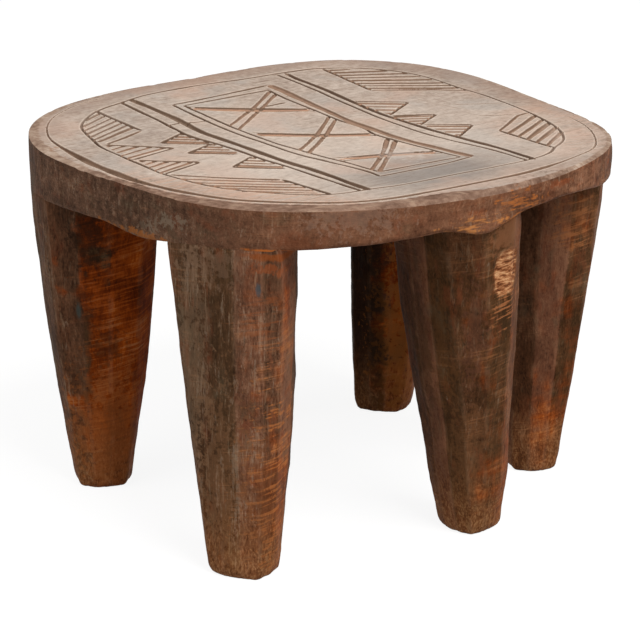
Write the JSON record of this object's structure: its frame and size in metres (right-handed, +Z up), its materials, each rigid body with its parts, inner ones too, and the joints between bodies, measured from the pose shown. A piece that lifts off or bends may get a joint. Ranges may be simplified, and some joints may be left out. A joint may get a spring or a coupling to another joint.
{
  "type": "carved wooden stool",
  "caption": "Low wooden stool cut from a single log: a dished, rounded-square seat incised with bands, crosses and hatched triangles stands on tapered hewn legs.",
  "frame": {"origin": "on the floor under the middle of the seat", "axes": "+X along the long side of the carved middle panel, +Y across the panel, +Z up"},
  "size_m": [0.3759, 0.3892, 0.2648],
  "materials": {
    "seat_wood": "weathered grey-tan wood, worn smooth, dark in the cuts",
    "leg_wood": "dark red-brown hewn wood with adze facets and worn arrises"
  },
  "bodies": {
    "root": {"seat": "seat_wood", "leg_1": "leg_wood", "leg_2": "leg_wood", "leg_3": "leg_wood", "leg_4": "leg_wood", "leg_5": "leg_wood", "leg_6": "leg_wood"}
  },
  "joints": []
}
